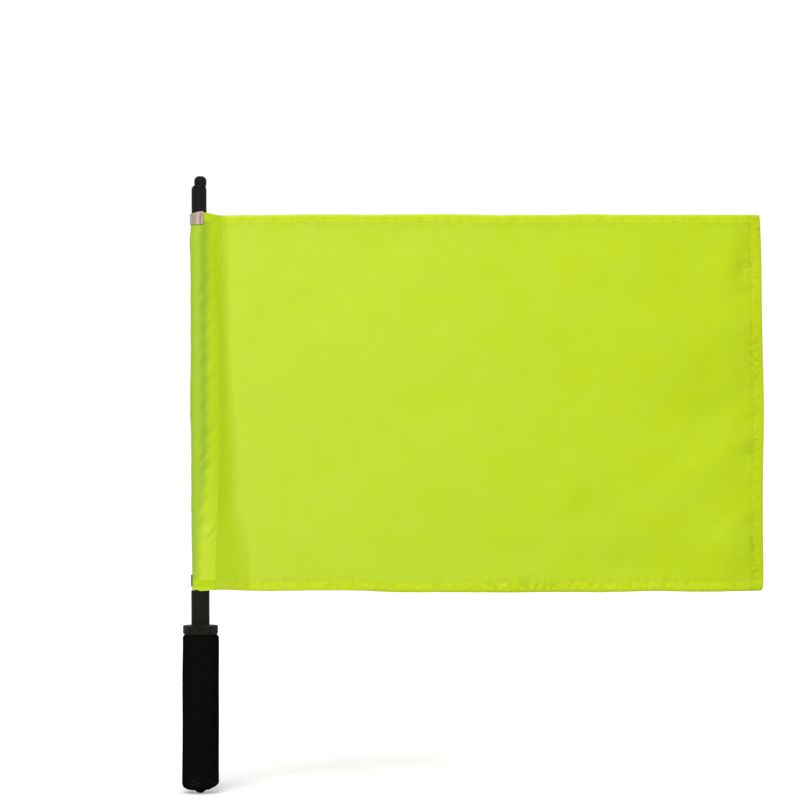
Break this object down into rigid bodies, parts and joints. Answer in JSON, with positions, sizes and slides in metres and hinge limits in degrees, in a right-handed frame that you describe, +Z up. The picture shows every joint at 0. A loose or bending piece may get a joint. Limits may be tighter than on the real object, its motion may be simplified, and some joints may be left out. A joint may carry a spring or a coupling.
{
  "type": "linesman flag",
  "caption": "Hand-held linesman flag: a hemmed yellow nylon cloth sewn round a black pole that turns freely in a foam-covered handle with a notched collar.",
  "frame": {"origin": "the middle of the foam grip, on the pole's axis, where a hand holds the flag", "axes": "+Z up the pole, +X from the pole towards the cloth's fly edge, -Y out of the cloth's front face"},
  "size_m": [0.4654, 0.0296, 0.4928],
  "materials": {
    "handle_plastic": "satin",
    "pole_plastic": "satin",
    "foam": "matte",
    "bush_nylon": "satin",
    "steel": "satin",
    "nickel": "satin",
    "cloth": "satin",
    "thread": "matte"
  },
  "bodies": {
    "handle": {"handle_core": "handle_plastic", "foam_grip": "foam", "core_plug": "handle_plastic", "upper_bush": "bush_nylon", "lower_bush": "bush_nylon", "thrust_washer": "steel"},
    "pole": {"spindle": "handle_plastic", "retaining_washer": "steel", "retaining_screw": "steel", "pole_tube": "pole_plastic", "pole_cap": "pole_plastic", "upper_clip": "nickel", "lower_clip": "nickel", "flag_cloth": "cloth", "sleeve_seam_needle_thread": "thread", "sleeve_seam_bobbin_thread": "thread", "top_hem_needle_thread": "thread", "top_hem_bobbin_thread": "thread", "bottom_hem_needle_thread": "thread", "bottom_hem_bobbin_thread": "thread", "fly_hem_needle_thread": "thread", "fly_hem_bobbin_thread": "thread"}
  },
  "joints": [
    {"name": "pole_swivel", "type": "hinge", "parent": "handle", "child": "pole", "pos_m": [0, 0, 0.05], "axis": [0, 0, 1], "continuous": true}
  ]
}
